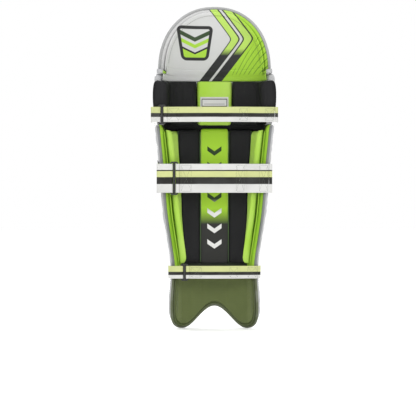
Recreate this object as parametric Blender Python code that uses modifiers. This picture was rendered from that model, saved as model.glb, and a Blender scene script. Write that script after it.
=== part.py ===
"""Cricket leg pad for the left leg: shin guard, knee rolls, top hat and three straps.

Metres, +Z up the leg, the front of the pad faces -Y and the wearer's left is +X.
Every panel lies on one curved surface. A place on it is an arc distance from the
centre line and a height, and a depth is measured inwards from it towards the leg.
"""

from functools import lru_cache
from math import cos, pi, radians, sin, sqrt, tan

import bmesh
import bpy
import numpy as np
from mathutils import Vector

# Surface: height, half width, front line and wing edge, from the toe to the top.
STATIONS = (
    (0.000, 0.101, 0.002, 0.050),
    (0.060, 0.101, 0.002, 0.054),
    (0.135, 0.097, 0.004, 0.053),
    (0.190, 0.104, 0.003, 0.064),
    (0.245, 0.112, 0.002, 0.074),
    (0.300, 0.117, 0.001, 0.078),
    (0.350, 0.121, 0.000, 0.077),
    (0.410, 0.127, 0.000, 0.077),
    (0.450, 0.131, 0.000, 0.085),
    (0.505, 0.135, 0.000, 0.092),
    (0.557, 0.131, 0.000, 0.096),
    (0.600, 0.126, 0.020, 0.108),
    (0.640, 0.116, 0.041, 0.128),
    (0.665, 0.103, 0.055, 0.136),
    (0.685, 0.088, 0.067, 0.134),
    (0.705, 0.070, 0.080, 0.128),
)
SECTION_POWER = 2.4

# Bottom edge of the instep: a notch at the centre between two round lobes.
NOTCH_HEIGHT = 0.048
LOBE_AT = 0.62
CORNER_HEIGHT = 0.050

# Round top of the top hat.
HAT_BASE = 0.557
HAT_HALF_WIDTH = 0.130
HAT_HEIGHT = 0.145
HAT_POWER = 2.2
HAT_TOP = 0.700

# Knee: seams between the segments, the hinge line and how far each seam bends.
SEAMS = (0.448, 0.487, 0.522, 0.560)
HINGE_Y = 0.002
BEND_BACK = radians(5)
SEAM_GAP = 0.0010
ROLL_NAMES = ("roll_lower", "roll_middle", "roll_upper")
ROLL_FRONTS = (-0.022, -0.017, -0.013)
ROLL_REAR = 0.020
ROLL_REACH = 0.935
ROLL_FADE = 0.87
ROLL_POWER = 2.3

# Layers of the shin, as depths behind the front surface.
COVER = 0.0015
GAP = 0.0010
FOAM_FRONT = COVER + GAP
FOAM_THICK = 0.0115
ROD_DEPTH = 0.0166
ROD_RADIUS = 0.0023
LINING_FRONT = 0.0194
LINING_THICK = 0.0012
BOLSTER_FRONT = 0.0216
BOLSTER_THICK = 0.0160
REST_PLANE_Y = 0.036
INSTEP_TOP = 0.1115
SHIN_FLOOR = 0.1125
SHIN_LINING_LOW = 0.114
BOLSTER_LOW = 0.142
INSET = 0.0075
TOE_INSET = 0.0105
COVER_INSET = 0.0010
BINDING_RADIUS = 0.0030
BINDING_DEPTH = 0.0080

# Vertical divisions of the shin, as distances from the centre line.
CENTRE_HALF = 0.030
INNER_EDGE = 0.083
FOAM_SEAMS = (0.25, 0.75)
SPLIT = 0.0004
COLUMNS = 24

# Knee cups behind the rolls.
CUP_LOW = 0.444
CUP_END_LOW = 0.463
CUP_HIGH = 0.540
CUP_FRONT = 0.0255
CUP_THICK = 0.016
CUP_CENTRE_HALF = 0.042
CUP_REACH = 0.006

# Top hat layers.
HAT_FOAM_THICK = 0.0140
HAT_LINING_THICK = 0.0013

# Straps: low edge, high edge, ring position and the clearance behind the wing edge.
STRAPS = {
    "knee": (0.448, 0.481, 0.106, 0.010),
    "calf": (0.296, 0.359, 0.080, 0.004),
    "ankle": (0.110, 0.138, 0.058, 0.004),
}
STRAP_CARRIERS = {"knee": "roll_lower", "calf": "shin", "ankle": "shin"}
WEBBING = 0.0016
STRAP_BOW = 0.010
LAYER = 0.0021
TAIL_REACH = 0.55
RING_WIDTH = 0.014
RING_RADIUS = 0.0018
RING_MARGIN = 0.0029
WRAP = RING_RADIUS + 0.0005 + WEBBING / 2
ANCHOR_LENGTH = 0.020
ANCHOR_OFFSET = 0.0022

WHITE = (0.80, 0.81, 0.82, 1.0)
GREY = (0.32, 0.33, 0.33, 1.0)
LIME = (0.45, 0.80, 0.08, 1.0)
OLIVE = (0.14, 0.18, 0.03, 1.0)
BLACK = (0.015, 0.015, 0.017, 1.0)
CREAM = (0.72, 0.74, 0.55, 1.0)
FOAM = (0.75, 0.74, 0.70, 1.0)
CANE = (0.60, 0.42, 0.20, 1.0)

COLLECTION = "cricket_leg_pad"
BODIES = {}


def mix(a, b, t):
    return a + (b - a) * t


def power(value, exponent):
    """value raised to 2/exponent with its sign kept: one coordinate of a superellipse."""
    return np.sign(value) * abs(value) ** (2 / exponent)


def smooth(heights, values, z):
    """Cubic through the stations, with the mean slope at each one."""
    slopes = np.gradient(values, heights)
    i = min(max(int(np.searchsorted(heights, z)) - 1, 0), len(heights) - 2)
    span = heights[i + 1] - heights[i]
    t = (z - heights[i]) / span
    rise = t * t * (3 - 2 * t)
    lead = t * (1 - t) ** 2 * span * slopes[i]
    trail = t * t * (t - 1) * span * slopes[i + 1]
    return mix(values[i], values[i + 1], rise) + lead + trail


@lru_cache(maxsize=None)
def section(z):
    """The horizontal half section at a height: arc distances, x and y."""
    heights, widths, fronts, edges = (np.array(column) for column in zip(*STATIONS))
    half = smooth(heights, widths, z)
    front = smooth(heights, fronts, z)
    edge = smooth(heights, edges, z)
    angle = np.linspace(0, pi / 2, 961)
    x = half * power(np.sin(angle), SECTION_POWER)
    y = edge - (edge - front) * power(np.cos(angle), SECTION_POWER)
    arc = np.concatenate(([0], np.cumsum(np.hypot(np.diff(x), np.diff(y)))))
    return arc, x, y


def half_arc(z):
    return float(section(round(z, 5))[0][-1])


def surface(s, z):
    """The point of the front surface at arc distance s and height z."""
    arc, x, y = section(round(z, 5))
    reach = abs(s)
    past_edge = max(reach - arc[-1], 0)
    side = -1 if s < 0 else 1
    return Vector((side * np.interp(reach, arc, x), np.interp(reach, arc, y) + past_edge, z))


def point(s, z, depth=0.0):
    """A point at a depth behind the surface, measured square to it."""
    step = 0.004
    along = surface(s + step, z) - surface(s - step, z)
    up = surface(s, z + step) - surface(s, z - step)
    return surface(s, z) - along.cross(up).normalized() * float(depth)


def hat_edge(z, inset=0.0):
    """Arc distance of the top hat's round outline at a height."""
    share = min(max((z - HAT_BASE) / (HAT_HEIGHT - inset), 0), 1)
    x = (HAT_HALF_WIDTH - inset) * (1 - share**HAT_POWER) ** (1 / HAT_POWER)
    arc, xs, _ = section(round(z, 5))
    return float(np.interp(x, xs, arc))


def toe_edge(u):
    """Height of the bottom edge at a share u of the half width."""
    reach = min(abs(u), 1)
    if reach < LOBE_AT:
        return NOTCH_HEIGHT * (1 + cos(pi * reach / LOBE_AT)) / 2
    t = (reach - LOBE_AT) / (1 - LOBE_AT)
    return CORNER_HEIGHT * (1 - sqrt(1 - t * t))


def half_gap(y):
    """Half the opening a seam needs at y so that it can bend back without touching."""
    return SEAM_GAP / 2 + max(y - HINGE_Y, 0) * tan(BEND_BACK) / 2


def material(name, colour, roughness):
    made = bpy.data.materials.get(name)
    if made is None:
        made = bpy.data.materials.new(name)
        made.use_nodes = True
        shader = made.node_tree.nodes["Principled BSDF"]
        shader.inputs["Base Color"].default_value = colour
        shader.inputs["Roughness"].default_value = roughness
        made.diffuse_color = colour
    return made


LEATHER_WHITE = ("white_leather", WHITE, 0.45)
PIPING_GREY = ("grey_piping", GREY, 0.5)
FOAM_SLAB = ("foam", FOAM, 0.9)
CANE_ROD = ("cane", CANE, 0.6)
FABRIC_LIME = ("lime_fabric", LIME, 0.6)
FABRIC_BLACK = ("black_fabric", BLACK, 0.7)
FABRIC_OLIVE = ("olive_fabric", OLIVE, 0.7)
FABRIC_PRINT = ("printed_lining", WHITE, 0.6)
WEBBING_CREAM = ("striped_webbing", CREAM, 0.8)
PLASTIC_BLACK = ("black_plastic", BLACK, 0.35)
BADGE_GREEN = ("badge", LIME, 0.4)


def keep(obj, body, look):
    """Put a finished object in the pad's collection, with its material and its body."""
    for owner in list(obj.users_collection):
        owner.objects.unlink(obj)
    bpy.data.collections[COLLECTION].objects.link(obj)
    obj.data.materials.append(material(*look))
    BODIES[body].append(obj)
    return obj


def grid_mesh(name, columns, rows, place, wrap=None, caps=False, flat_y=None):
    """A grid whose vertices are placed by place(p, q), joined round if wrap says so."""
    bm = bmesh.new()
    bmesh.ops.create_grid(bm, x_segments=columns, y_segments=rows, size=0.5)
    for vertex in bm.verts:
        vertex.co = place(vertex.co.x + 0.5, vertex.co.y + 0.5)
        if flat_y is not None:
            vertex.co.y = min(vertex.co.y, flat_y)
    if wrap:
        bmesh.ops.remove_doubles(bm, verts=bm.verts[:], dist=1e-5)
    if caps:
        rims = [edge for edge in bm.edges if edge.is_boundary]
        bmesh.ops.holes_fill(bm, edges=rims, sides=0)
        bmesh.ops.recalc_face_normals(bm, faces=bm.faces[:])
    mesh = bpy.data.meshes.new(name)
    bm.to_mesh(mesh)
    bm.free()
    return bpy.data.objects.new(name, mesh)


def sheet(name, body, look, columns, rows, place, thickness, centred=False, wrap=None):
    """An open surface given a thickness, inwards from it or centred on it."""
    obj = grid_mesh(name, columns, rows, place, wrap=wrap)
    keep(obj, body, look)
    solidify = obj.modifiers.new("thickness", "SOLIDIFY")
    solidify.thickness = thickness
    solidify.offset = 0 if centred else -1
    solidify.use_even_offset = True
    return obj


def slab(name, body, look, columns, rows, place):
    """A closed slab between a front grid and a rear grid, placed by place(p, q, rear)."""
    bm = bmesh.new()
    bmesh.ops.create_grid(bm, x_segments=columns, y_segments=rows, size=0.5)
    grown = bmesh.ops.extrude_face_region(bm, geom=bm.faces[:], use_keep_orig=True)
    rear = {item for item in grown["geom"] if isinstance(item, bmesh.types.BMVert)}
    for vertex in bm.verts:
        vertex.co = place(vertex.co.x + 0.5, vertex.co.y + 0.5, vertex in rear)
    bmesh.ops.recalc_face_normals(bm, faces=bm.faces[:])
    mesh = bpy.data.meshes.new(name)
    bm.to_mesh(mesh)
    bm.free()
    return keep(bpy.data.objects.new(name, mesh), body, look)


def panel(name, body, look, low, high, bottom, top, depth, thickness, columns, rows):
    """A layer between side lines low(z), high(z) and edges bottom(u), top(u)."""

    def place(p, q, rear):
        level = mix(bottom(0), top(0), q)
        u = min(max(mix(low(level), high(level), p) / wing_limit(level), -1), 1)
        z = mix(bottom(u), top(u), q)
        return point(mix(low(z), high(z), p), z, depth + thickness * rear)

    return slab(name, body, look, columns, rows, place)


def tube(name, body, look, points, radius, cyclic=False, sides=1):
    """A round bar through points, as a bevelled curve with closed ends."""
    curve = bpy.data.curves.new(name, "CURVE")
    curve.dimensions = "3D"
    curve.bevel_depth = radius
    curve.bevel_resolution = sides
    curve.use_fill_caps = not cyclic
    spline = curve.splines.new("POLY")
    spline.points.add(len(points) - 1)
    for target, place in zip(spline.points, points):
        target.co = (*place, 1)
    spline.use_cyclic_u = cyclic
    return keep(bpy.data.objects.new(name, curve), body, look)


def ribbon(name, body, look, path, low, high):
    """Webbing on edge: a plan line carried from low to high."""

    def place(p, q):
        x, y = path[round(p * (len(path) - 1))]
        return Vector((x, y, mix(low, high, q)))

    return sheet(name, body, look, len(path) - 1, 1, place, WEBBING, centred=True)


def wing_limit(z):
    """Arc distance where the shin's layers stop, short of the binding."""
    return half_arc(z) - INSET


def shin_top(u):
    """Top edge of the shin's front layers, which opens towards the wings."""
    edge = point(u * half_arc(SEAMS[0]), SEAMS[0], LINING_FRONT)
    return SEAMS[0] - half_gap(edge.y)


def bolster_top(u):
    """Top of what lies behind the lining: it stays below the knee cups when the knee bends."""
    edge = point(u * half_arc(SEAMS[0]), SEAMS[0], LINING_FRONT)
    return SEAMS[0] - 0.005 - 2 * tan(BEND_BACK) * max(edge.y + BOLSTER_THICK, 0)


def build_shin_front():
    """Cover, foam slabs and cane rods, from the front inwards."""

    panel("shin_cover", "shin", LEATHER_WHITE, lambda z: COVER_INSET - half_arc(z),
          lambda z: half_arc(z) - COVER_INSET, lambda u: toe_edge(u) + COVER_INSET,
          shin_top, 0, COVER, COLUMNS, 18)
    near, far = FOAM_SEAMS
    slabs = (
        ("foam_centre", -near, near),
        ("foam_left", near, far),
        ("foam_right", -far, -near),
        ("foam_wing_left", far, 1),
        ("foam_wing_right", -1, -far),
    )
    for name, low, high in slabs:
        columns = round((high - low) * COLUMNS / 2)
        panel(name, "shin", FOAM_SLAB, lambda z: low * wing_limit(z) + SPLIT,
              lambda z: high * wing_limit(z) - SPLIT, lambda u: SHIN_FLOOR, shin_top,
              FOAM_FRONT, FOAM_THICK, columns, 10)
    for index, s in enumerate((-0.075, -0.022, 0.022, 0.075)):
        heights = np.linspace(0.125, 0.428, 9)
        points = [point(s, z, ROD_DEPTH) for z in heights]
        tube(f"cane_rod_{index + 1}", "shin", CANE_ROD, points, ROD_RADIUS)


def pillow(name, body, look, low, high, bottom, top, flat_y=None):
    """A long rounded cushion standing behind the lining."""
    sides = 12

    def place(p, q):
        angle = 2 * pi * p
        middle = mix(bottom, top(0), q)
        centre = mix(low(middle), high(middle), 0.5)
        half = (high(middle) - low(middle)) / 2
        z = mix(bottom, top(centre / half_arc(SEAMS[0])), q)
        depth = BOLSTER_FRONT + BOLSTER_THICK * (1 - power(cos(angle), 4)) / 2
        return point(centre + half * power(sin(angle), 4), z, depth)

    obj = grid_mesh(name, sides, 8, place, wrap=True, caps=True, flat_y=flat_y)
    return keep(obj, body, look)


def build_shin_back():
    """Lining and the five upright bolsters."""
    panel("shin_lining", "shin", FABRIC_LIME, lambda z: -wing_limit(z), wing_limit,
          lambda u: SHIN_LINING_LOW, bolster_top, LINING_FRONT, LINING_THICK, COLUMNS, 9)
    gap = 0.0006
    pillow("centre_bolster", "shin", FABRIC_LIME, lambda z: -CENTRE_HALF, lambda z: CENTRE_HALF,
           BOLSTER_LOW, bolster_top, REST_PLANE_Y)
    for side, word in ((1, "left"), (-1, "right")):
        inner = sorted((side * (CENTRE_HALF + gap), side * INNER_EDGE))
        pillow(f"inner_bolster_{word}", "shin", FABRIC_BLACK, lambda z: inner[0], lambda z: inner[1],
               BOLSTER_LOW, bolster_top)

        def near(z):
            return INNER_EDGE + gap

        def far(z):
            return max(wing_limit(z), INNER_EDGE + 0.012)

        ends = (near, far) if side > 0 else (lambda z: -far(z), lambda z: -near(z))
        pillow(f"side_bolster_{word}", "shin", FABRIC_LIME, *ends, BOLSTER_LOW, bolster_top)


def build_instep():
    """Foam and lining below the ankle, and the badge on the front."""

    def bottom(u):
        return toe_edge(u) + TOE_INSET

    for name, look, depth, thickness in (
        ("instep_foam", FOAM_SLAB, FOAM_FRONT, 0.010),
        ("instep_lining", FABRIC_OLIVE, FOAM_FRONT + 0.010 + GAP, LINING_THICK),
    ):
        panel(name, "shin", look, lambda z: -wing_limit(z), wing_limit,
              bottom, lambda u: INSTEP_TOP, depth, thickness, COLUMNS, 4)

    badge_half = 0.026

    def half(z):
        return badge_half * (1 - 0.35 * (0.099 - z) / 0.046)

    panel("instep_badge", "shin", BADGE_GREEN, lambda z: -half(z), half,
          lambda u: 0.058, lambda u: 0.099, -0.0016, 0.0012, 4, 4)


def build_shin_binding():
    """The bound edge: down one wing, round the two lobes and up the other wing."""
    wing = [(1.0, z) for z in np.linspace(SEAMS[0] - 0.012, CORNER_HEIGHT, 14, endpoint=False)]
    turns = np.linspace(pi / 2, 0, 9)
    corner = [(LOBE_AT + (1 - LOBE_AT) * sin(t), CORNER_HEIGHT * (1 - cos(t))) for t in turns]
    notch = [(u, toe_edge(u)) for u in np.linspace(LOBE_AT, 0, 9)[1:]]
    left = wing + corner + notch
    right = [(-u, z) for u, z in reversed(left[:-1])]
    points = []
    for u, z in left + right:
        limit = half_arc(z) - BINDING_RADIUS
        points.append(point(u * limit, z + BINDING_RADIUS, BINDING_DEPTH))
    tube("shin_binding", "shin", PIPING_GREY, points, BINDING_RADIUS)


def roll_front(index, s):
    """Depth of a roll's front: proud of the shin at the centre, level with it at the wings."""
    share = min(abs(s) / half_arc(SEAMS[1]) / ROLL_FADE, 1)
    return ROLL_FRONTS[index] * (1 - share**2.2)


def roll_point(index, s, angle, inset=0.0):
    """A point of a roll's outer surface, or inset from it; angle 0 faces the front."""
    low, high = SEAMS[index], SEAMS[index + 1]
    middle = (low + high) / 2
    front = roll_front(index, s)
    rear = point(s, middle, ROLL_REAR)
    half_height = (high - low) / 2 - half_gap(rear.y) - inset
    half_depth = (ROLL_REAR - front) / 2 - inset
    depth = (ROLL_REAR + front) / 2 - half_depth * power(cos(angle), ROLL_POWER)
    place = point(s, middle, depth)
    place.z += half_height * power(sin(angle), ROLL_POWER)
    return place


def build_rolls():
    """Three knee rolls: an open-ended leather sleeve round a foam core."""
    for index, body in enumerate(ROLL_NAMES):
        reach = ROLL_REACH * half_arc((SEAMS[index] + SEAMS[index + 1]) / 2)
        core_reach = reach - 0.002

        def sleeve(p, q, index=index, reach=reach):
            return roll_point(index, mix(-reach, reach, p), 2 * pi * q)

        def core(p, q, index=index, reach=core_reach):
            return roll_point(index, mix(-reach, reach, p), 2 * pi * q, COVER + GAP)

        sheet(f"{body}_cover", body, LEATHER_WHITE, 16, 12, sleeve, COVER, wrap=True)
        keep(grid_mesh(f"{body}_foam", 16, 12, core, wrap=True, caps=True), body, FOAM_SLAB)

    def badge(p, q):
        return roll_point(1, mix(0.036, 0.116, p), mix(-0.95, 0.95, q), -0.0015)

    sheet("roll_badge", "roll_middle", BADGE_GREEN, 6, 4, badge, 0.0011)


def build_webs():
    """The sewn webs that join neighbouring segments behind each seam."""
    half = 0.0055
    depth = ROLL_REAR + GAP
    for index, seam in enumerate(SEAMS):
        body = ("shin", *ROLL_NAMES)[index]
        reach = 0.80 * half_arc(seam)
        panel(f"seam_web_{index + 1}", body, FABRIC_BLACK, lambda z: -reach, lambda z: reach,
              lambda u: seam - half, lambda u: seam + half, depth, LINING_THICK, 18, 1)


def cup_section(s, limit):
    """Front and rear depth of a side cup: behind the roll, then round the end of it."""
    share = (s / limit - 0.945) / 0.035
    turn = min(max(share, 0), 1)
    front = mix(CUP_FRONT, 0.002, turn * turn * (3 - 2 * turn))
    return front, CUP_FRONT + CUP_THICK * mix(1, 0.6, max(s / limit - 0.5, 0) * 2)


def build_knee_cups():
    """Backing strip, centre cup and the two side cups, all carried by the middle roll."""
    limit = half_arc((CUP_LOW + CUP_HIGH) / 2)
    backing = 0.86 * limit
    panel("cup_backing", "roll_middle", FABRIC_BLACK, lambda z: -backing, lambda z: backing,
          lambda u: 0.4935, lambda u: 0.5155, ROLL_REAR + GAP, 0.0030, 18, 1)

    def cup(name, look, stops):
        def place(p, q):
            s = float(np.interp(p, np.linspace(0, 1, len(stops)), stops))
            front, rear = cup_section(abs(s), limit)
            angle = 2 * pi * q
            depth = (front + rear) / 2 - (rear - front) / 2 * power(cos(angle), 5)
            lift = min(max((abs(s) / limit - 0.76) / 0.18, 0), 1)
            low = mix(CUP_LOW, CUP_END_LOW, lift)
            z = mix(low, CUP_HIGH, (1 + float(power(sin(angle), 5))) / 2)
            return point(s * half_arc(z) / limit, z, depth)

        keep(grid_mesh(name, len(stops) - 1, 12, place, wrap=True, caps=True), "roll_middle", look)

    gap = 0.0012
    shares = (0.42, 0.6, 0.76, 0.88, 0.945, 0.962, 0.98)
    outward = [CUP_CENTRE_HALF + gap, *(share * limit for share in shares), limit + CUP_REACH]
    cup("knee_cup_centre", FABRIC_LIME, [-CUP_CENTRE_HALF, -0.014, 0.014, CUP_CENTRE_HALF])
    cup("knee_cup_left", FABRIC_BLACK, outward)
    cup("knee_cup_right", FABRIC_BLACK, [-s for s in reversed(outward)])


def hat_bottom(depth):
    """Bottom edge of the top hat, opening towards the wings like the seams below it."""

    def edge(u):
        spot = point(u * hat_edge(SEAMS[3] + 0.004, INSET), SEAMS[3], depth)
        return SEAMS[3] + half_gap(spot.y)

    return edge


def build_top_hat():
    """Cover, foam and lining of the thigh guard, and its bound edge."""
    lining_depth = FOAM_FRONT + HAT_FOAM_THICK + GAP
    layers = (
        ("top_hat_cover", LEATHER_WHITE, 0.0, COVER, COVER_INSET),
        ("top_hat_foam", FOAM_SLAB, FOAM_FRONT, HAT_FOAM_THICK, INSET),
        ("top_hat_lining", FABRIC_PRINT, lining_depth, HAT_LINING_THICK, INSET),
    )
    last = radians(78)
    bottom = hat_bottom(ROLL_REAR)
    for name, look, depth, thickness, inset in layers:

        def place(p, q, rear):
            u = 2 * p - 1
            low = bottom(u)
            z = mix(low, HAT_TOP - inset, sin(q * last) / sin(last))
            crown = 0.0020 * max(q - 0.8, 0) / 0.2 * (1 - u * u)
            return point(u * hat_edge(z, inset), z + crown, depth + thickness * rear)

        slab(name, "top_hat", look, COLUMNS, 9, place)

    points = []
    rise = HAT_HEIGHT - BINDING_RADIUS
    half = HAT_HALF_WIDTH - BINDING_RADIUS
    for angle in np.linspace(radians(7), radians(173), 36):
        x = half * power(cos(angle), HAT_POWER)
        z = HAT_BASE + rise * power(sin(angle), HAT_POWER)
        arc, xs, _ = section(round(z, 5))
        s = float(np.interp(abs(x), xs, arc)) * (1 if x > 0 else -1)
        points.append(point(s, z, BINDING_DEPTH))
    tube("top_hat_binding", "top_hat", PIPING_GREY, points, BINDING_RADIUS)


def strap_frame(name):
    """Half width, line of the webbing and ring places of one strap."""
    low, high, ring_x, clearance = STRAPS[name]
    half = max(float(section(round(z, 5))[1][-1]) for z in (low, high))
    edge = max(float(section(round(z, 5))[2][-1]) for z in (low, high))

    def line(x):
        return edge + clearance + STRAP_BOW * (1 - (x / half) ** 2)

    return low, high, ring_x, half, edge, line


def strap_joints(name):
    """Joint places of one strap: the sewn end, the tail's fold and the ring's outer bar."""
    _, _, ring_x, half, _, line = strap_frame(name)
    sewn_x = -(half - 0.0037)
    fold_x = ring_x - 0.0050
    bar_x = ring_x + RING_WIDTH
    return (
        (sewn_x, line(sewn_x) + WEBBING / 2 + 0.0001),
        (fold_x, line(fold_x) + LAYER - WEBBING / 2),
        (bar_x, line(bar_x) + LAYER / 2),
    )


def quarter(centre, radius, start, end, steps=5):
    """Plan points on an arc."""
    return [
        (centre[0] + radius * cos(a), centre[1] + radius * sin(a))
        for a in np.linspace(radians(start), radians(end), steps)
    ]


def build_strap(name):
    """One strap: sewn anchor, webbing, folded tail, ring and the tab that holds the ring."""
    low, high, ring_x, half, edge, line = strap_frame(name)
    carrier = STRAP_CARRIERS[name]
    turn = 0.004
    outside = half + ANCHOR_OFFSET
    bar_x = ring_x + RING_WIDTH

    sewn_line = line(half - 0.004)
    corner = quarter((-(outside - turn), sewn_line - turn), turn, 180, 90)
    anchor = [(-outside, edge - ANCHOR_LENGTH), *corner, (-(half - 0.0040), sewn_line)]
    ribbon(f"{name}_anchor", carrier, WEBBING_CREAM, anchor, low, high)

    start = -(half - 0.0040) + 0.0006
    band = [(x, line(x)) for x in np.linspace(start, ring_x - 0.0060, 14)]
    ribbon(f"{name}_strap", f"{name}_strap", WEBBING_CREAM, band, low, high)

    tail_xs = np.linspace(ring_x - 0.0050, -TAIL_REACH * half, 12)
    tail = [(x, line(x) + LAYER) for x in tail_xs]
    ribbon(f"{name}_tail", f"{name}_tail", WEBBING_CREAM, tail, low, high)

    hub = (ring_x, line(ring_x) + LAYER / 2)
    fold_start = ring_x - 0.0054
    fold_end = ring_x - 0.0044
    fold = [(fold_start, line(fold_start)), *quarter(hub, WRAP, -90, 90, 9)]
    fold.append((fold_end, line(fold_end) + LAYER))
    ribbon(f"{name}_fold", f"{name}_strap", WEBBING_CREAM, fold, low, high)

    outer_hub = (bar_x, line(bar_x) + LAYER / 2)
    over = outer_hub[1] + WRAP
    bend = quarter((outside - turn, over - turn), turn, 0, 90)
    loop = quarter(outer_hub, WRAP, 90, 270, 9)
    tab = [(outside, edge - ANCHOR_LENGTH), *bend, *loop, (bar_x + 0.005, outer_hub[1] - WRAP)]
    ribbon(f"{name}_tab", carrier, WEBBING_CREAM, tab, low, high)

    build_ring(name, hub, outer_hub, low - RING_MARGIN, high + RING_MARGIN)


def build_ring(name, hub, outer_hub, low, high):
    """A rectangular ring with round corners, standing in the plane through its two bars."""
    along = Vector((outer_hub[0] - hub[0], outer_hub[1] - hub[1], 0))
    width = along.length
    corner = 0.003
    centres = (
        (width - corner, high - corner, 0),
        (corner, high - corner, 90),
        (corner, low + corner, 180),
        (width - corner, low + corner, 270),
    )
    points = []
    for across, level, start in centres:
        for a in np.linspace(radians(start), radians(start + 90), 4):
            place = Vector((hub[0], hub[1], 0)) + along.normalized() * (across + corner * cos(a))
            points.append(place + Vector((0, 0, level + corner * sin(a))))
    tube(f"{name}_ring", f"{name}_ring", PLASTIC_BLACK, points, RING_RADIUS, cyclic=True)


def body_joints():
    """Each body's parent and the place of its joint."""
    places = {"shin": (None, Vector((0, 0, 0)))}
    parent = "shin"
    for body, seam in zip((*ROLL_NAMES, "top_hat"), SEAMS):
        places[body] = (parent, Vector((0, HINGE_Y, seam)))
        parent = body
    for name in STRAPS:
        low, high = STRAPS[name][:2]
        middle = (low + high) / 2
        sewn, fold, bar = (Vector((x, y, middle)) for x, y in strap_joints(name))
        places[f"{name}_strap"] = (STRAP_CARRIERS[name], sewn)
        places[f"{name}_tail"] = (f"{name}_strap", fold)
        places[f"{name}_ring"] = (STRAP_CARRIERS[name], bar)
    return places


def parent_bodies(places):
    """Hang each body's objects on an empty at its joint."""
    empties = {}
    for body, (parent, place) in places.items():
        empty = bpy.data.objects.new(f"joint_{body}", None)
        bpy.data.collections[COLLECTION].objects.link(empty)
        offset = places[parent][1] if parent else Vector((0, 0, 0))
        empty.location = place - offset
        empty.parent = empties[parent] if parent else None
        empties[body] = empty
        for obj in BODIES[body]:
            obj.parent = empty
            obj.location = -place
    return empties["shin"]


def stand_on_origin(root):
    """Move the whole pad so that its box stands centred on the origin."""
    bpy.context.view_layer.update()
    depsgraph = bpy.context.evaluated_depsgraph_get()
    low = Vector((1, 1, 1)) * 10
    high = -low
    for objects in BODIES.values():
        for obj in objects:
            shape = obj.evaluated_get(depsgraph)
            mesh = shape.to_mesh()
            for vertex in mesh.vertices:
                place = obj.matrix_world @ vertex.co
                low = Vector(map(min, low, place))
                high = Vector(map(max, high, place))
            shape.to_mesh_clear()
    root.location = -Vector(((low.x + high.x) / 2, (low.y + high.y) / 2, low.z))
    bpy.context.view_layer.update()


def main():
    for obj in list(bpy.data.objects):
        bpy.data.objects.remove(obj)
    collection = bpy.data.collections.new(COLLECTION)
    bpy.context.scene.collection.children.link(collection)
    places = body_joints()
    for body in places:
        BODIES[body] = []
    build_shin_front()
    build_shin_back()
    build_instep()
    build_shin_binding()
    build_rolls()
    build_webs()
    build_knee_cups()
    build_top_hat()
    for name in STRAPS:
        build_strap(name)
    stand_on_origin(parent_bodies(places))


main()
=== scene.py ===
"""Looks of the cricket leg pad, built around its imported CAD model.

Every panel lies on the pad's curved surface. A place there is an arc distance s from
the centre line, a height z and a depth inwards from the front, all in metres.
"""

from math import pi, radians, tan

import bmesh
import bpy
import numpy as np
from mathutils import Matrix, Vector


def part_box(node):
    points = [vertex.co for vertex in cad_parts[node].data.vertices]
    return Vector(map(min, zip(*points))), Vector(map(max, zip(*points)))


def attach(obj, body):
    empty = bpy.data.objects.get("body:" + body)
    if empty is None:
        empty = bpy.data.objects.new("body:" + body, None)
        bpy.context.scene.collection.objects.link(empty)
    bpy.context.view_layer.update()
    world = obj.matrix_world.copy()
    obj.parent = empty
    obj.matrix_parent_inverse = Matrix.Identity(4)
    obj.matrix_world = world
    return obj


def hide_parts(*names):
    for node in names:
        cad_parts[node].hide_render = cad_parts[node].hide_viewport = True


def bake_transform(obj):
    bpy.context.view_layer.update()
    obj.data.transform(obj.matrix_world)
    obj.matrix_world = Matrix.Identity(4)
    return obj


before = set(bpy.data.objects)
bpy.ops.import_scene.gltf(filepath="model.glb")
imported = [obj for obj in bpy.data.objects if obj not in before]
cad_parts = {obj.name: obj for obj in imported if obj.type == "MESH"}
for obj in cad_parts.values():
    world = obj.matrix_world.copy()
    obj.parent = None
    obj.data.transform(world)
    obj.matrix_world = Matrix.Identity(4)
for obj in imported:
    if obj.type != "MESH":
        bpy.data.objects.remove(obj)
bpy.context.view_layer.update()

# ---------------------------------------------------------------- the pad's surface
# Height, half width, front line and wing edge, from the toe to the top.
STATIONS = (
    (0.000, 0.101, 0.002, 0.050),
    (0.060, 0.101, 0.002, 0.054),
    (0.135, 0.097, 0.004, 0.053),
    (0.190, 0.104, 0.003, 0.064),
    (0.245, 0.112, 0.002, 0.074),
    (0.300, 0.117, 0.001, 0.078),
    (0.350, 0.121, 0.000, 0.077),
    (0.410, 0.127, 0.000, 0.077),
    (0.450, 0.131, 0.000, 0.085),
    (0.505, 0.135, 0.000, 0.092),
    (0.557, 0.131, 0.000, 0.096),
    (0.600, 0.126, 0.020, 0.108),
    (0.640, 0.116, 0.041, 0.128),
    (0.665, 0.103, 0.055, 0.136),
    (0.685, 0.088, 0.067, 0.134),
    (0.705, 0.070, 0.080, 0.128),
)
SECTION_POWER = 2.4
REST_PLANE_Y = 0.036
SHIFT = np.array([0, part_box("centre_bolster")[1].y - REST_PLANE_Y, 0])

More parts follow.
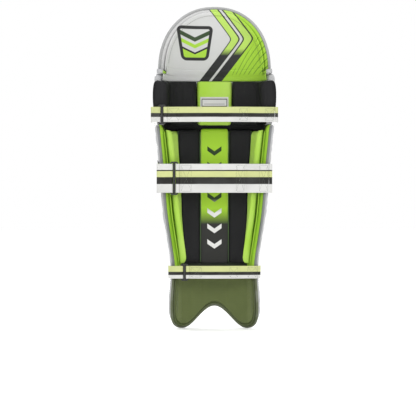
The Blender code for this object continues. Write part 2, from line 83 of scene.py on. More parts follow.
NOTCH_HEIGHT, LOBE_AT, CORNER_HEIGHT = 0.048, 0.62, 0.050
HAT_BASE, HAT_HALF_WIDTH, HAT_HEIGHT, HAT_POWER, HAT_TOP = 0.557, 0.130, 0.145, 2.2, 0.700
SEAMS = (0.448, 0.487, 0.522, 0.560)
HINGE_Y, SEAM_GAP, BEND_BACK = 0.002, 0.0010, radians(5)
BODIES = ("shin", "roll_lower", "roll_middle", "roll_upper", "top_hat")
ROLL_FRONTS, ROLL_REAR, ROLL_REACH = (-0.022, -0.017, -0.013), 0.020, 0.935
ROLL_FADE, ROLL_POWER = 0.87, 2.3
LINING_FRONT, BOLSTER_FRONT, BOLSTER_THICK = 0.0194, 0.0216, 0.016
INSTEP_TOP, BOLSTER_LOW = 0.1115, 0.142
CENTRE_HALF = 0.0345
BINDING_RADIUS, BINDING_DEPTH = 0.003, 0.008
CUP_LOW, CUP_END_LOW, CUP_HIGH = 0.444, 0.463, 0.540
CUP_FRONT, CUP_THICK, CUP_CENTRE_HALF, CUP_REACH = 0.0255, 0.016, 0.042, 0.006
STRAPS = {
    "knee": (0.448, 0.481, 0.106, 0.010),
    "calf": (0.296, 0.359, 0.080, 0.004),
    "ankle": (0.110, 0.138, 0.058, 0.004),
}
CARRIERS = {"knee": "roll_lower", "calf": "shin", "ankle": "shin"}
WEBBING, STRAP_BOW, LAYER, TAIL_REACH = 0.0016, 0.010, 0.0021, 0.55
RING_WIDTH, RING_RADIUS, RING_MARGIN = 0.014, 0.0018, 0.0029
WRAP = RING_RADIUS + 0.0005 + WEBBING / 2
ANCHOR_LENGTH, ANCHOR_OFFSET, SEWN_END = 0.020, 0.0022, 0.0040

# Stitches: radius of the thread, length of a stitch and the distance between starts.
COARSE, FINE = (0.00045, 0.0026, 0.0040), (0.0003, 0.0020, 0.0030)
STITCH_INSET = 0.0125
# The steepest toe edge that still rounds the leather, and a half arc near the toe.
TOE_STEEPEST, TOE_HALF_ARC = 3, 0.126

# Sewn channels, as arc distances from the centre line.
SHIN_CHANNELS = (-0.115, -0.030, 0.0, 0.030, 0.115)
HAT_CHANNELS = (-0.115, -0.036, 0.0, 0.036, 0.115)
RIB_LOW, RIB_HIGH = 0.118, 0.412

# The section is read from a table: rows are heights 2 mm apart, columns arc steps.
ARC_STEP, HEIGHT_STEP, ARC_MOST = 0.0005, 0.002, 0.24


def mix(a, b, t):
    return a + (b - a) * t


def power(value, exponent):
    return np.sign(value) * np.abs(value) ** (2 / exponent)


def smooth(heights, values, z):
    """Cubic through the stations, with the mean slope at each one."""
    slopes = np.gradient(values, heights)
    i = np.clip(np.searchsorted(heights, z) - 1, 0, len(heights) - 2)
    span = heights[i + 1] - heights[i]
    t = (z - heights[i]) / span
    bend = t * (1 - t) ** 2 * slopes[i] + t * t * (t - 1) * slopes[i + 1]
    return mix(values[i], values[i + 1], t * t * (3 - 2 * t)) + bend * span


def lay_sections():
    """Half width positions x and y by height and arc distance, and each half arc."""
    heights, widths, fronts, edges = (np.array(column) for column in zip(*STATIONS))
    levels = np.arange(0, HAT_TOP + 0.006, HEIGHT_STEP)
    angle = np.linspace(0, pi / 2, 961)
    steps = np.arange(0, ARC_MOST, ARC_STEP)
    xs, ys, arcs = [], [], []
    for z in levels:
        half, front, edge = (float(smooth(heights, v, z)) for v in (widths, fronts, edges))
        x = half * power(np.sin(angle), SECTION_POWER)
        y = edge - (edge - front) * power(np.cos(angle), SECTION_POWER)
        arc = np.concatenate(([0], np.cumsum(np.hypot(np.diff(x), np.diff(y)))))
        xs.append(np.interp(steps, arc, x))
        ys.append(np.interp(steps, arc, y) + np.maximum(steps - arc[-1], 0))
        arcs.append(arc[-1])
    return levels, np.array(xs), np.array(ys), np.array(arcs)


LEVELS, SECTION_X, SECTION_Y, HALF_ARCS = lay_sections()


def half_arc(z):
    return np.interp(z, LEVELS, HALF_ARCS)


def table_at(table, s, z):
    row = np.clip(z / HEIGHT_STEP, 0, len(LEVELS) - 1.001)
    column = np.clip(np.abs(s) / ARC_STEP, 0, table.shape[1] - 1.001)
    i, j = row.astype(int), column.astype(int)
    low = mix(table[i, j], table[i, j + 1], column - j)
    high = mix(table[i + 1, j], table[i + 1, j + 1], column - j)
    return mix(low, high, row - i)


def surface(s, z):
    s, z = np.broadcast_arrays(np.asarray(s, float), np.asarray(z, float))
    x = np.where(s < 0, -1, 1) * table_at(SECTION_X, s, z)
    return np.stack([x, table_at(SECTION_Y, s, z), z], axis=-1)


def point(s, z, depth=0.0):
    """A point at a depth behind the surface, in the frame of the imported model."""
    step = 0.004
    along = surface(s + step, z) - surface(s - step, z)
    up = surface(s, z + step) - surface(s, z - step)
    normal = np.cross(along, up)
    normal /= np.linalg.norm(normal, axis=-1, keepdims=True)
    return surface(s, z) - normal * np.asarray(depth, float)[..., None] + SHIFT


def arc_at(x, z):
    """Arc distance of the surface point at that x and height."""
    row = np.clip(np.round(np.asarray(z) / HEIGHT_STEP).astype(int), 0, len(LEVELS) - 1)
    steps = np.arange(SECTION_X.shape[1]) * ARC_STEP
    pairs = zip(np.ravel(x), np.ravel(row))
    found = [np.interp(abs(across), SECTION_X[i], steps) for across, i in pairs]
    return np.sign(x) * np.reshape(found, np.shape(x))


def hat_edge_x(z, inset):
    share = np.clip((z - HAT_BASE) / (HAT_HEIGHT - inset), 0, 1)
    return (HAT_HALF_WIDTH - inset) * (1 - share**HAT_POWER) ** (1 / HAT_POWER)


def hat_edge(z, inset):
    """Arc distance of the top hat's round outline at a height."""
    levels = np.linspace(SEAMS[3], HAT_TOP, 120)
    return np.interp(z, levels, arc_at(hat_edge_x(levels, inset), levels))


def toe_edge(u):
    """Height of the bottom edge at a share u of the half width."""
    reach = np.minimum(np.abs(u), 1)
    t = np.clip((reach - LOBE_AT) / (1 - LOBE_AT), 0, 1)
    lobe = CORNER_HEIGHT * (1 - np.sqrt(1 - t * t))
    notch = NOTCH_HEIGHT * (1 + np.cos(pi * reach / LOBE_AT)) / 2
    return np.where(reach < LOBE_AT, notch, lobe)


def toe_slope(u):
    """How steep the bottom edge is there, per share of the half width."""
    shares = even(400)
    slope = np.clip(np.gradient(toe_edge(shares), 1 / 400), -TOE_STEEPEST, TOE_STEEPEST)
    return np.interp(np.abs(u), shares, slope)


def half_gap(y):
    """Half the opening of a seam at a y of the CAD's own frame."""
    return SEAM_GAP / 2 + np.maximum(y - HINGE_Y, 0) * tan(BEND_BACK) / 2


def seam_y(seam, s, depth):
    return point(s, seam, depth)[..., 1] - SHIFT[1]


def shin_top(s):
    return SEAMS[0] - half_gap(seam_y(SEAMS[0], s, LINING_FRONT))


def bolster_top(s):
    y = seam_y(SEAMS[0], s, LINING_FRONT)
    return SEAMS[0] - 0.005 - 2 * tan(BEND_BACK) * np.maximum(y + BOLSTER_THICK, 0)


def hat_bottom(s):
    return SEAMS[3] + half_gap(seam_y(SEAMS[3], s, ROLL_REAR))


def crease(distance, width):
    """From 1 on a seam to 0 a width away from it, round like stuffed cloth."""
    t = np.clip(np.abs(distance) / width, 0, 1)
    return 1 - np.sqrt(1 - (1 - t) ** 2)


def step_between(value, low, high):
    t = np.clip((value - low) / (high - low), 0, 1)
    return t * t * (3 - 2 * t)


def ripple(s, z, size, seed):
    """Smooth uneven waves of about a size, from -1 to 1, the same on every run."""
    rng = np.random.default_rng(seed)
    total = np.zeros(np.broadcast(s, z).shape)
    for _ in range(9):
        angle, phase, scale = rng.uniform(0, pi), rng.uniform(0, 2 * pi), rng.uniform(0.7, 1.6)
        wave = (s * np.cos(angle) + z * np.sin(angle)) * 2 * pi * scale / size
        total += np.sin(wave + phase)
    return total / 4.5


# ---------------------------------------------------------------- mesh building
def add_object(name, data):
    obj = bpy.data.objects.new(name, data)
    bpy.context.scene.collection.objects.link(obj)
    return obj


def add_mesh(name, bm):
    """A smooth object made from a bmesh, which is then freed."""
    mesh = bpy.data.meshes.new(name)
    bm.to_mesh(mesh)
    bm.free()
    mesh.shade_smooth()
    return add_object(name, mesh)


def coordinates(mesh):
    flat = np.zeros(len(mesh.vertices) * 3)
    mesh.vertices.foreach_get("co", flat)
    return flat.reshape(-1, 3)


def arc_lengths(points):
    """Distance along a line of points from its first to each of them."""
    gaps = np.linalg.norm(np.diff(points, axis=0), axis=1)
    return np.concatenate(([0], np.cumsum(gaps)))


def grid(name, p_stops, q_stops, place, merge=False, caps=False, rear=False):
    """A grid placed by place(p, q), or place(p, q, behind) for a slab with a rear face.

    place gives the points and, as its second value, the UV map in metres.
    """
    bm = bmesh.new()
    columns, rows = len(p_stops) - 1, len(q_stops) - 1
    bmesh.ops.create_grid(bm, x_segments=columns, y_segments=rows, size=0.5)
    front_count = len(bm.verts)
    if rear:
        bmesh.ops.extrude_face_region(bm, geom=bm.faces[:], use_keep_orig=True)
    bm.verts.ensure_lookup_table()
    flat = np.array([vertex.co for vertex in bm.verts])
    p = np.asarray(p_stops)[np.round((flat[:, 0] + 0.5) * columns).astype(int)]
    q = np.asarray(q_stops)[np.round((flat[:, 1] + 0.5) * rows).astype(int)]
    behind = np.arange(len(flat)) >= front_count
    places, maps = place(p, q, behind) if rear else place(p, q)
    for vertex, spot in zip(bm.verts, places):
        vertex.co = spot
    layer = bm.loops.layers.uv.new("UVMap")
    for face in bm.faces:
        face.material_index = int(all(behind[vertex.index] for vertex in face.verts))
        for loop in face.loops:
            loop[layer].uv = maps[loop.vert.index]
    if merge:
        bmesh.ops.remove_doubles(bm, verts=bm.verts[:], dist=1e-5)
    if caps:
        rims = [edge for edge in bm.edges if edge.is_boundary]
        bmesh.ops.holes_fill(bm, edges=rims, sides=0)
    if rear or merge:
        bmesh.ops.recalc_face_normals(bm, faces=bm.faces[:])
    return add_mesh(name, bm)


def even(count):
    return np.linspace(0, 1, count + 1)


def uv(u, v):
    return np.stack([u, v], axis=-1)


def by_arc(s, z, depth):
    """Points of the pad, with a pattern that follows the arc and the height."""
    return point(s, z, depth), uv(s, z)


def by_width(s, z, depth):
    """Points of the pad, with a pattern that is flat as seen from behind."""
    spots = point(s, z, depth)
    return spots, uv(spots[..., 0], spots[..., 2])


def thicken(obj, thickness, offset=0.0):
    solidify = obj.modifiers.new("thickness", "SOLIDIFY")
    solidify.thickness, solidify.offset = thickness, offset
    solidify.use_even_offset = True
    return obj


def soften(obj):
    subdivision = obj.modifiers.new("soften", "SUBSURF")
    subdivision.levels = subdivision.render_levels = 1
    return obj


def tube(name, points, radius, cyclic=False, resolution=3):
    """A round cord through points, as a bevelled curve."""
    curve = bpy.data.curves.new(name, "CURVE")
    curve.dimensions = "3D"
    curve.bevel_depth, curve.bevel_resolution = radius, resolution
    curve.use_fill_caps = not cyclic
    spline = curve.splines.new("POLY")
    spline.points.add(len(points) - 1)
    for target, spot in zip(spline.points, points):
        target.co = (*spot, 1)
    spline.use_cyclic_u, spline.use_smooth = cyclic, True
    return add_object(name, curve)


def stitches(name, lines, sizes=COARSE):
    """Short raised threads along lines of points, as one mesh."""
    radius, length, pitch = sizes
    bm = bmesh.new()
    for points in lines:
        points = np.asarray(points, float)
        arc = arc_lengths(points)
        for start in np.arange(pitch / 4, arc[-1] - length, pitch):
            first, last = (
                Vector([np.interp(at, arc, points[:, k]) for k in range(3)])
                for at in (start, start + length)
            )
            turn, middle = (last - first).to_track_quat("Z", "Y"), (first + last) / 2
            made = bmesh.ops.create_uvsphere(bm, u_segments=6, v_segments=4, radius=radius)
            for vertex in made["verts"]:
                vertex.co.z *= length / 2 / radius
                vertex.co = turn @ vertex.co + middle
    return add_mesh(name, bm)


def swell(obj, held, cap, spare=0.04):
    """Swell a padded piece with Cloth, holding some vertices and capping the movement."""
    if cap == 0:
        return
    scene, before = bpy.context.scene, coordinates(obj.data)
    group = obj.vertex_groups.new(name="held")
    group.add([int(i) for i in np.flatnonzero(held)], 1.0, "REPLACE")
    cloth = obj.modifiers.new("swell", "CLOTH")
    settings = cloth.settings
    settings.quality, settings.mass = 4, 0.3
    settings.use_pressure, settings.uniform_pressure_force = True, 4.0
    settings.vertex_group_mass, settings.shrink_min = "held", -spare
    settings.effector_weights.gravity = 0
    cloth.collision_settings.use_collision = False
    for step in range(1, 21):
        scene.frame_set(step)
    shape = obj.evaluated_get(bpy.context.evaluated_depsgraph_get()).to_mesh()
    move = coordinates(shape) - before
    obj.modifiers.remove(cloth)
    scene.frame_set(1)
    size = np.linalg.norm(move, axis=1, keepdims=True)
    move *= np.minimum(1, cap / np.maximum(size, 1e-9))
    move[~np.isfinite(move).all(axis=1)] = 0
    obj.data.vertices.foreach_set("co", (before + move).ravel())
    obj.data.update()


# ---------------------------------------------------------------- materials
WHITE = (0.395, 0.40, 0.41)
PALE = (0.54, 0.54, 0.535)
GREY = (0.16, 0.165, 0.165)
LIME = (0.335, 0.585, 0.028)
LIME_PALE = (0.42, 0.63, 0.10)
LIME_DEEP = (0.12, 0.27, 0.01)
OLIVE = (0.075, 0.100, 0.016)
OLIVE_PALE = (0.115, 0.145, 0.035)
OLIVE_DEEP = (0.045, 0.060, 0.012)
BADGE_LIME = (0.27, 0.41, 0.085)
BADGE_GREEN = (0.16, 0.29, 0.025)
GREEN_DARK = (0.018, 0.045, 0.008)
BLACK = (0.006, 0.006, 0.007)
CHARCOAL = (0.018, 0.018, 0.016)
CREAM = (0.56, 0.60, 0.26)
WEB_WHITE = (0.64, 0.64, 0.62)


class Wire:
    """A value in a material's nodes, which takes the usual arithmetic signs."""

    def __init__(self, nodes, socket):
        self.nodes, self.socket = nodes, socket

    def math(self, operation, *others):
        node = self.nodes.new("ShaderNodeMath")
        node.operation = operation
        for place, value in zip(node.inputs, (self, *others)):
            if isinstance(value, Wire):
                self.nodes.id_data.links.new(value.socket, place)
            else:
                place.default_value = value
        return Wire(self.nodes, node.outputs[0])

    def __add__(self, other):
        return self.math("ADD", other)

    def __sub__(self, other):
        return self.math("SUBTRACT", other)

    def __mul__(self, other):
        return self.math("MULTIPLY", other)

    def __abs__(self):
        return self.math("ABSOLUTE")

    def above(self, edge, soft=0.0006):
        """0 below an edge and 1 above it, with a soft step between."""
        return ((self - edge) * (1 / soft) + 0.5).math("MAXIMUM", 0.0).math("MINIMUM", 1.0)

    def below(self, edge, soft=0.0006):
        return self.above(edge, soft).math("MULTIPLY_ADD", -1.0, 1.0)

    def inside(self, low, high, soft=0.0006):
        return self.above(low, soft) * self.below(high, soft)

    def waves(self, length):
        return (self * (2 * pi / length)).math("SINE") * 0.5 + 0.5


class Look:
    """A material under construction: coordinates, noise, colours and the shader."""

    def __init__(self, name, rough, sheen=0.0, coat=0.0, gloss=0.5):
        self.material = bpy.data.materials.new(name)
        self.material.use_nodes = True
        self.links, self.nodes = self.material.node_tree.links, self.material.node_tree.nodes
        self.shader = self.nodes["Principled BSDF"]
        self.shader.inputs["Sheen Weight"].default_value = sheen
        self.shader.inputs["Coat Weight"].default_value = coat
        self.shader.inputs["Coat Roughness"].default_value = 0.35
        self.shader.inputs["Specular IOR Level"].default_value = gloss
        self.rough = rough
        self.places = self.nodes.new("ShaderNodeTexCoord").outputs
        self.u, self.v, _ = self.split("UV")

    def split(self, source):
        """The three parts of a texture coordinate."""
        node = self.nodes.new("ShaderNodeSeparateXYZ")
        self.links.new(self.places[source], node.inputs[0])
        return [Wire(self.nodes, part) for part in node.outputs]

    def pattern(self, kind, output, **amounts):
        """A procedural texture in the object's own metres."""
        node = self.nodes.new(kind)
        for socket, amount in amounts.items():
            node.inputs[socket].default_value = amount
        self.links.new(self.places["Object"], node.inputs["Vector"])
        return Wire(self.nodes, node.outputs[output])

    def noise(self, scale, detail=3.0):
        return self.pattern("ShaderNodeTexNoise", 0, Scale=scale, Detail=detail)

    def cells(self, scale):
        return self.pattern("ShaderNodeTexVoronoi", "Distance", Scale=scale)

    def paint(self, tone, *coats):
        """Lay coats over a tone in turn: each a colour and the share that it covers."""
        for colour, share in coats:
            node = self.nodes.new("ShaderNodeMix")
            node.data_type = "RGBA"
            for place, value in ((6, tone), (7, colour)):
                if isinstance(value, Wire):
                    self.links.new(value.socket, node.inputs[place])
                else:
                    node.inputs[place].default_value = (*value, 1)
            self.links.new(share.socket, node.inputs[0])
            tone = Wire(self.nodes, node.outputs[2])
        return tone

    def finish(self, colour, height, depth):
        """Join the colour, a bump of a depth in metres and an uneven roughness."""
        self.links.new(colour.socket, self.shader.inputs["Base Color"])
        bump = self.nodes.new("ShaderNodeBump")
        bump.inputs["Strength"].default_value = 1.0
        bump.inputs["Distance"].default_value = depth
        self.links.new(height.socket, bump.inputs["Height"])
        self.links.new(bump.outputs[0], self.shader.inputs["Normal"])
        uneven = self.noise(30) * 0.16 + (self.rough - 0.08)
        self.links.new(uneven.socket, self.shader.inputs["Roughness"])
        return self.material


def darker(colour, share):
    return tuple(part * share for part in colour)


def leather(name, colour, worn, rough=0.5):
    """Coated leather: pebbled grain, faint mottling and scuffs."""
    look = Look(name, rough, coat=0.08)
    grain = look.cells(620) * 0.5 + look.noise(1400, 2) * 0.3 + look.noise(90) * 0.5
    tone = look.paint(
        colour,
        (worn, look.noise(9, 4).above(0.55, 0.30)),
        (darker(worn, 0.86), look.noise(60, 5).above(0.68, 0.10) * 0.35),
    )
    return look.finish(tone, grain, 0.00035)


def woven(look, pitch=0.0011):
    """Height of a plain weave of yarns along both directions of the UV map."""
    over, under = look.u.waves(pitch), look.v.waves(pitch)
    return over * under + (look.u + look.v).waves(pitch * 2) * 0.3 + look.noise(900, 2) * 0.4


def fabric(name, colour, other, rough, sheen, gloss=0.5):
    look = Look(name, rough, sheen=sheen, gloss=gloss)
    weave = woven(look)
    mottle = look.noise(14, 4).above(0.5, 0.4)
    tone = look.paint(colour, (other, mottle), (darker(other, 0.7), weave * 0.22))
    return look.finish(tone, weave, 0.00025)


def rounded_box(x, z, half_width, half_height, corner):
    """Distance outside a box with round corners, negative inside it."""
    past_x, past_z = abs(x) - (half_width - corner), abs(z) - (half_height - corner)
    over_x, over_z = past_x.math("MAXIMUM", 0.0), past_z.math("MAXIMUM", 0.0)
    within = past_x.math("MAXIMUM", past_z).math("MINIMUM", 0.0)
    return (over_x * over_x + over_z * over_z).math("SQRT") + within - corner


def printed(name):
    """The top hat's lining: pale cloth with slanted bands and a plain shield."""
    look = Look(name, 0.55, sheen=0.1)
    x, z = look.u, look.v
    rise = ((z - 0.6295) * (z - 0.6295) + 0.00002).math("SQRT")
    band = x + rise * -0.80 + 0.0028
    stripe = look.paint(LIME_PALE, (BLACK, z.below(0.603, 0.014)))
    arcs = (x * 0.9 + z + (x + 0.11) * (x + 0.11) * 9.0).waves(0.016).above(0.93, 0.06)
    from_middle = abs(x - 0.0425)
    shield = rounded_box(from_middle - (z - 0.657) * 0.16, z - 0.621, 0.0405, 0.036, 0.011)
    crest = z - from_middle * 0.45
    field = look.paint(
        LIME,
        (PALE, crest.above(0.600)),
        (BLACK, crest.inside(0.598, 0.602)),
        (LIME, crest.inside(0.6105, 0.6185)),
        (GREEN_DARK, crest.inside(0.6245, 0.6335)),
    )
    tone = look.paint(
        LIME,
        (LIME_DEEP, arcs * z.inside(0.555, 0.632, 0.004) * band.below(-0.092)),
        (stripe, band.above(-0.081)),
        (BLACK, band.inside(-0.0840, -0.0808)),
        (BLACK, band.inside(-0.0648, -0.0338)),
        (PALE, band.inside(-0.0616, -0.0556)),
        (stripe, band.inside(-0.0524, -0.0368)),
        (PALE, band.above(-0.0345)),
        (BLACK, shield.below(0.0, 0.0008)),
        (field, shield.below(-0.0066, 0.0008)),
        (GREY, look.noise(18, 4).above(0.60, 0.3) * 0.06),
    )
    return look.finish(tone, woven(look), 0.00018)


def striped(name, *bands):
    """Ribbed webbing: white, and then each band's colour from its height upwards."""
    look = Look(name, 0.72, gloss=0.25)
    height = look.v + (look.noise(40, 2) - 0.5) * 0.0006
    coats = [(colour, height.above(low, 0.0005)) for colour, low in bands]
    tone = look.paint(WEB_WHITE, *coats, (GREY, look.noise(18, 4).above(0.56, 0.3) * 0.16))
    ribs = look.v.waves(0.0016) * 0.5 + look.u.waves(0.0011) * look.v.waves(0.0008)
    return look.finish(tone, ribs + look.noise(900, 2) * 0.3, 0.0003)


def centre_print(name):
    """The centre strip: lime fading to charcoal, with pale edges and small chevrons."""
    look = Look(name, 0.55, gloss=0.3)
    x, z = abs(look.u), look.v
    marks = (z - x * 0.7).waves(0.034).above(0.80, 0.06) * x.below(0.0155)
    tone = look.paint(
        CHARCOAL,
        (LIME, z.above(0.245, 0.035)),
        (LIME_PALE, x.above(0.0285) * z.above(0.25, 0.03)),
        (look.paint((0.66, 0.66, 0.64), (GREEN_DARK, z.above(0.268, 0.030))),
         marks * z.inside(0.165, 0.405)),
    )
    return look.finish(tone, woven(look), 0.0002)


def shield_print(name, half_width, low, high):
    """A small raised badge: dark rim, pale field and a chevron."""
    look = Look(name, 0.38, coat=0.3)
    x, z = abs(look.u), look.v
    middle, half_height = (low + high) / 2, (high - low) / 2
    edge = rounded_box(x - (z - high) * 0.2, z - middle, half_width, half_height, 0.006)
    crest = z - x * 0.25
    tone = look.paint(
        BADGE_LIME,
        (PALE, crest.above(low + 0.017)),
        (GREEN_DARK, crest.inside(low + 0.0145, low + 0.018)),
        (GREEN_DARK, crest.inside(low + 0.007, low + 0.0085)),
        (GREY, crest.inside(low + 0.0225, low + 0.0275)),
        (BLACK, edge.above(-0.0048)),
        (LIME_DEEP, edge.inside(-0.0052, -0.0042, 0.0004)),
    )
    return look.finish(tone, edge.above(-0.0048, 0.002) + look.noise(700) * 0.2, 0.0005)


def bar_print(name, length, height):
    """A raised strip: dark rim and a row of plain slanted bars."""
    look = Look(name, 0.42, coat=0.25)
    x, z = look.u, look.v
    edge = rounded_box(x - length / 2, z - height / 2, length / 2, height / 2, 0.003)
    slant = x + z * 0.45
    bars = slant.waves(0.0165).above(0.90, 0.05)
    cross = z.inside(height * 0.47, height * 0.53) * bars.below(0.5)
    tone = look.paint(
        BADGE_LIME,
        (BADGE_GREEN, (slant * 0.5 + z).waves(0.018)),
        (GREEN_DARK, bars.math("MAXIMUM", cross)),
        (GREEN_DARK, edge.above(-0.0030)),
    )
    return look.finish(tone, bars * 0.5 + edge.above(-0.0030, 0.001), 0.0004)


def patch_print(name, length, height):
    """The patch where the calf strap's tab is sewn: lime with black edges."""
    look = Look(name, 0.45, coat=0.1)
    x, z = look.u, look.v
    tone = look.paint(
        LIME,
        (LIME_PALE, x.above(length * 0.6, length * 0.6)),
        (BLACK, x.below(0.0085)),
        (PALE, z.inside(height - 0.0068, height - 0.0052) * x.above(0.004)),
        (BLACK, z.above(height - 0.0050)),
        (GREEN_DARK, z.below(0.0018)),
    )
    return look.finish(tone, look.cells(700) * 0.4 + look.noise(500), 0.00025)


def label_print(name, half_width, low, high):
    """A blank pale label with a dark rounded outline and a plain rule."""
    look = Look(name, 0.5)
    x, z = look.u, look.v
    middle = (low + high) / 2
    rule = abs(z - middle + 0.003).below(0.0006) * abs(x).below(half_width - 0.010)
    outline = rounded_box(x, z - middle, half_width, (high - low) / 2, 0.004)
    tone = look.paint(
        PALE,
        ((0.60, 0.60, 0.57), look.noise(50)),
        (CHARCOAL, outline.inside(-0.0052, -0.0032)),
        (GREY, rule),
    )
    return look.finish(tone, woven(look, 0.0009), 0.0002)


def olive_print(name):
    """Olive cloth, paler along both sides, with faint level lines."""
    look = Look(name, 0.62, sheen=0.15)
    sides = abs(look.u).inside(0.083, 0.104, 0.010) * 0.8
    paler = sides.math("MAXIMUM", look.noise(13).above(0.5, 0.4) * 0.35)
    tone = look.paint(OLIVE, (OLIVE_PALE, paler), (OLIVE_DEEP, look.v.waves(0.0034) * 0.16))
    return look.finish(tone, woven(look), 0.00025)


def two_tone(look, first, share, mottle):
    """Cloth that turns from a first colour to mottled lime."""
    mottled = look.noise(14, 4).above(0.5, 0.4) * mottle
    tone = look.paint(first, (LIME, share), (LIME_DEEP, mottled))
    return look.finish(tone, woven(look), 0.00025)


def wing_cloth(name):
    """The cloth that wraps the rear of the shin: lime above the ankle and olive below."""
    look = Look(name, 0.62, sheen=0.1)
    return two_tone(look, OLIVE, look.v.above(0.1130), 0.12)


def lining_cloth(name):
    """The lining behind the cushions: black at the centre and lime at the wings."""
    look = Look(name, 0.6)
    return two_tone(look, BLACK, abs(look.u).above(0.090), 0.10)


def edge_leather(name):
    """Binding of the shin: grey on the wings and olive grey round the toe."""
    look = Look(name, 0.5, coat=0.05)
    tone = look.paint(
        (0.075, 0.090, 0.040),
        (GREY, look.split("Object")[2].above(0.125, 0.030)),
        ((0.26, 0.26, 0.255), look.noise(40, 4).above(0.62, 0.2) * 0.3),
    )
    return look.finish(tone, look.cells(620) * 0.5 + look.noise(1400, 2) * 0.3, 0.0003)


def polymer(name, colour, rough):
    look = Look(name, rough, coat=0.2)
    glint = tuple(part * 1.8 + 0.01 for part in colour)
    tone = look.paint(colour, (glint, look.noise(160, 4).above(0.6, 0.2) * 0.5))
    return look.finish(tone, look.noise(1200), 0.00008)


def thread(name, colour):
    look = Look(name, 0.6, sheen=0.3)
    tone = look.paint(colour, (darker(colour, 0.75), look.noise(900, 2)))
    return look.finish(tone, look.noise(2500, 2), 0.0001)


LOOKS = {
    "leather": leather("white_pu_leather", WHITE, (0.36, 0.36, 0.35), 0.46),
    "piping": edge_leather("grey_piping"),
    "olive_piping": leather("olive_piping", OLIVE_DEEP, (0.05, 0.07, 0.01)),
    "green_piping": leather("green_piping", GREEN_DARK, (0.05, 0.13, 0.015)),
    "pale_piping": leather("pale_piping", (0.30, 0.305, 0.305), (0.25, 0.25, 0.245)),
    "lime": fabric("lime_nylon", LIME, LIME_PALE, 0.62, 0.1),
    "black": fabric("black_nylon", BLACK, (0.010, 0.010, 0.011), 0.5, 0.0, gloss=0.2),
    "lining": lining_cloth("lining_cloth"),
    "wing_cloth": wing_cloth("wing_cloth"),
    "olive": olive_print("olive_nylon"),
    "print": printed("printed_lining"),
    "centre": centre_print("centre_strip_print"),
    "shield": shield_print("shield_badge_print", 0.027, 0.055, 0.100),
    "bars": bar_print("roll_strip_print", 0.080, 0.034),
    "patch": patch_print("wing_patch_print", 0.048, 0.030),
    "label": label_print("cup_label_print", 0.035, 0.481, 0.505),
    "plastic": polymer("black_acetal", BLACK, 0.3),
    "thread": thread("white_thread", (0.66, 0.66, 0.63)),
    "dark_thread": thread("dark_thread", (0.05, 0.06, 0.04)),
    "knee": striped("knee_webbing", (CHARCOAL, 0.4590), (CREAM, 0.4675)),
    "calf": striped("calf_webbing", (CHARCOAL, 0.3150), (CREAM, 0.3300),
                    (CHARCOAL, 0.3430), (WEB_WHITE, 0.3455)),
    "ankle": striped("ankle_webbing", (CHARCOAL, 0.1180), (CREAM, 0.1250)),
}


def finished(obj, look, body=None, stands_for=(), rear_look=None):
    """Give a piece its material, its body and what it stands for."""
    for face_look in (look, rear_look or look):
        obj.data.materials.append(LOOKS[face_look])
    if body:
        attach(obj, body)
    if stands_for:
        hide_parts(*stands_for)
    return obj


def stretched(obj):
    """Thin cloth, sewn down tight and cut to the area it covers: only its height is measured,
    and the height is not used.
    """
    height = np.ptp(coordinates(obj.data)[:, 2])


# ---------------------------------------------------------------- white padded front
LEATHER_INSET = 0.004
EDGE_FRONT, EDGE_REAR, EDGE_ROUND = 0.0068, 0.0094, 0.009


def stops(counts, cluster=0.55):
    """Grid stops numbered by line, closer together beside each line."""
    found = [0.0]
    for line, count in enumerate(counts):
        t = even(count)[1:]
        found.extend(line + mix(t, (1 - np.cos(pi * t)) / 2, cluster))
    return found


def between(number, lines):
    """The value at a stop number, where each whole number is one of the lines."""
    table = np.array(np.broadcast_arrays(*lines, number)[:-1])
    i = np.clip(number.astype(int), 0, len(lines) - 2)
    spot = np.arange(len(number))
    return mix(table[i, spot], table[i + 1, spot], number - i)


def leather_reach(z):
    return half_arc(z) - LEATHER_INSET


def shin_columns(p, z):
    return between(p, [-leather_reach(z), *SHIN_CHANNELS, leather_reach(z)])


def shin_layout(p, q):
    """Arc distance, height and distance to the outline of a shin grid point."""
    level = between(q, [0.02, RIB_LOW, RIB_HIGH, SEAMS[0]])
    s = shin_columns(p, level)
    u = s / leather_reach(level)
    toe, top = toe_edge(u) + LEATHER_INSET, shin_top(s) - 0.0006
    slope = np.clip(toe_slope(u) / TOE_HALF_ARC, -TOE_STEEPEST, TOE_STEEPEST)
    z = between(q, [toe, RIB_LOW, RIB_HIGH, top])
    s = shin_columns(p, z)
    to_toe = (z - toe) / np.sqrt(1 + slope**2)
    edge = np.minimum(np.minimum(leather_reach(z) - np.abs(s), top - z), to_toe)
    return s, z, np.maximum(edge, 0)


def shin_relief(s, z):
    """How far the sewn front of the shin sinks, less how far it stands proud."""
    inner = 1 - step_between(np.abs(s), 0.0275, 0.0325)
    ribs = np.maximum(crease(np.abs(s) - 0.030, 0.012), crease(s, 0.012))
    on_ribs = step_between(z, RIB_LOW - 0.002, RIB_LOW + 0.006)
    tongue = step_between(z, RIB_HIGH, RIB_HIGH + 0.008) * inner * (1 - ribs)
    side = crease(np.abs(s) - SHIN_CHANNELS[-1], 0.013) * step_between(z, 0.115, 0.170)
    across = crease(z - RIB_HIGH, 0.007) * 0.0036 + crease(z - RIB_LOW, 0.006) * 0.0014
    proud = inner * on_ribs * (1 - ribs) * 0.0008 + tongue * 0.0022
    uneven = ripple(s, z, 0.060, 3) * 0.00035 + ripple(s, z, 0.022, 4) * 0.00018
    return ribs * on_ribs * 0.0030 + side * 0.0024 + inner * across - proud + uneven


SHIN_COLUMNS = stops((9, 17, 9, 9, 17, 9))


